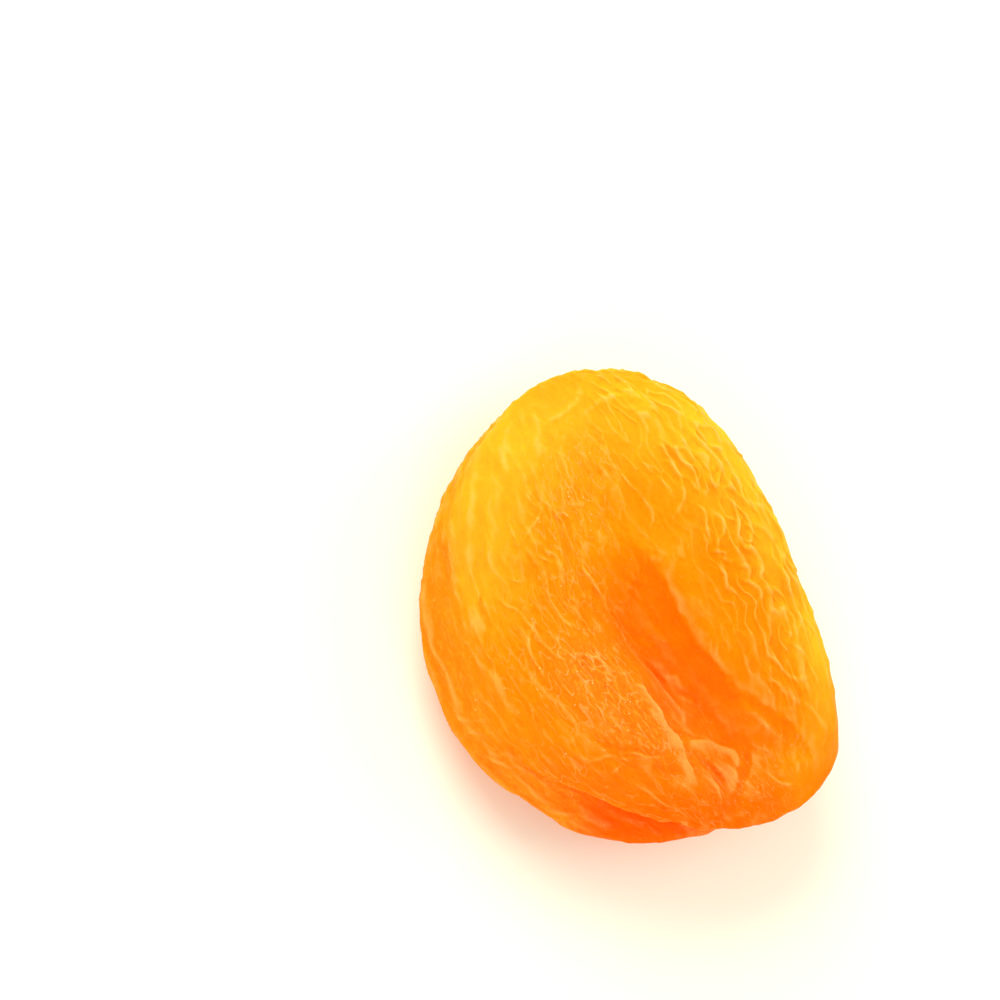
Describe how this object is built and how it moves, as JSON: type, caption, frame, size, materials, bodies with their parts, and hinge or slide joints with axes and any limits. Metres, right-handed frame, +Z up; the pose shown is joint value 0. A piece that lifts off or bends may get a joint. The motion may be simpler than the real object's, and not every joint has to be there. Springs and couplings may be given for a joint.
{
  "type": "dried apricot",
  "caption": "Whole stoned apricot, dried and pressed flat: lobed, wrinkled flesh with a stone hollow in the upper face and a slit in the rim, lying on its back.",
  "frame": {"origin": "on the table, under the middle of the fruit's bounding box", "axes": "+Y from the slit where the stone came out to the far end, +Z up from the table, +X to the right across the fruit"},
  "size_m": [0.039, 0.044, 0.014],
  "materials": {
    "apricot_flesh": "semi-matte, translucent dried flesh, yellow at the crown and thin rims, deep orange in the hollow"
  },
  "bodies": {
    "root": {"apricot": "apricot_flesh"}
  },
  "joints": []
}
